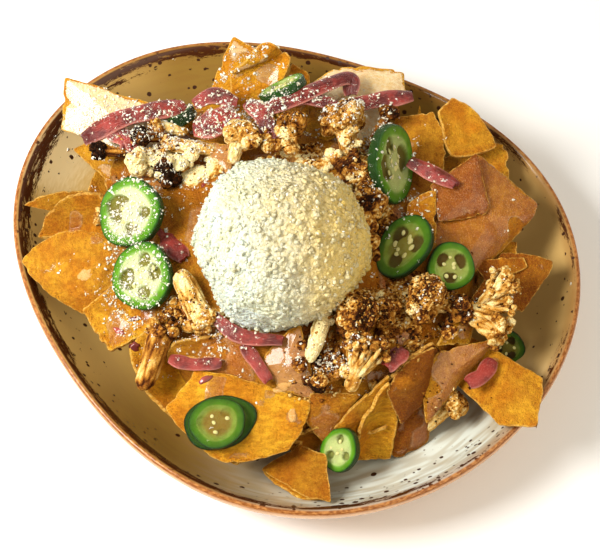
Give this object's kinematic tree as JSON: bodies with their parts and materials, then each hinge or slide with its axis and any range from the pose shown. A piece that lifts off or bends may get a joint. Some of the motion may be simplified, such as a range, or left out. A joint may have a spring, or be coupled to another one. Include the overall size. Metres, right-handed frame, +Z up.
{
  "type": "plate of loaded nachos",
  "caption": "Heap of tortilla chips on a pebble-shaped plate, topped with roasted cauliflower, green chilli slices, pickled onion and a round scoop of guacamole.",
  "frame": {"origin": "middle of the plate's outline, on the surface that its foot ring stands on", "axes": "+Z up, +X along the plate's longer way, -Y towards the guest"},
  "size_m": [0.2827, 0.2708, 0.1136],
  "materials": {
    "plate_glaze": "glossy speckled tan glaze",
    "tortilla_chip": "dry fried corn, satin",
    "guacamole": "soft, moist and grainy",
    "jalapeno": "wet green flesh and skin",
    "pickled_onion": "wet and translucent",
    "roasted_cauliflower": "roasted, crumbly"
  },
  "bodies": {
    "root": {"cauliflower_back_high": "roasted_cauliflower", "cauliflower_back_left_arm": "roasted_cauliflower", "cauliflower_back_left_burnt": "roasted_cauliflower", "cauliflower_back_left_dark": "roasted_cauliflower", "cauliflower_back_left_gold": "roasted_cauliflower", "cauliflower_back_left_low": "roasted_cauliflower", "cauliflower_back_left_tip": "roasted_cauliflower", "cauliflower_back_middle": "roasted_cauliflower", "cauliflower_back_right": "roasted_cauliflower", "cauliflower_back_right_tip": "roasted_cauliflower", "cauliflower_front_burnt": "roasted_cauliflower", "cauliflower_front_char": "roasted_cauliflower", "cauliflower_front_dark": "roasted_cauliflower", "cauliflower_front_rim": "roasted_cauliflower", "cauliflower_front_stem": "roasted_cauliflower", "cauliflower_front_wide": "roasted_cauliflower", "cauliflower_left_crumb": "roasted_cauliflower", "cauliflower_left_low": "roasted_cauliflower", "cauliflower_left_stem": "roasted_cauliflower", "cauliflower_right_clump": "roasted_cauliflower", "cauliflower_right_dark": "roasted_cauliflower", "cauliflower_right_edge": "roasted_cauliflower", "cauliflower_right_high": "roasted_cauliflower", "cauliflower_right_low": "roasted_cauliflower", "cauliflower_right_outer": "roasted_cauliflower", "guacamole_scoop": "guacamole", "jalapeno_back_edge": "jalapeno", "jalapeno_back_left": "jalapeno", "jalapeno_front_small": "jalapeno", "jalapeno_front_under": "jalapeno", "jalapeno_front_upper": "jalapeno", "jalapeno_left_lower": "jalapeno", "jalapeno_left_upper": "jalapeno", "jalapeno_right_lower": "jalapeno", "jalapeno_right_middle": "jalapeno", "jalapeno_right_upper": "jalapeno", "jalapeno_rim_right": "jalapeno", "onion_back_arc": "pickled_onion", "onion_back_bridge": "pickled_onion", "onion_back_down": "pickled_onion", "onion_back_left_drop": "pickled_onion", "onion_back_left_long": "pickled_onion", "onion_back_left_petal": "pickled_onion", "onion_back_petal": "pickled_onion", "onion_back_right_bar": "pickled_onion", "onion_back_twist": "pickled_onion", "onion_front_ring": "pickled_onion", "onion_front_sauced": "pickled_onion", "onion_front_strand": "pickled_onion", "onion_left_pocket": "pickled_onion", "onion_left_thread": "pickled_onion", "onion_right_bar": "pickled_onion", "onion_right_knob": "pickled_onion", "onion_taco_knob": "pickled_onion", "plate": "plate_glaze", "tortilla_chips": "tortilla_chip"}
  },
  "joints": []
}
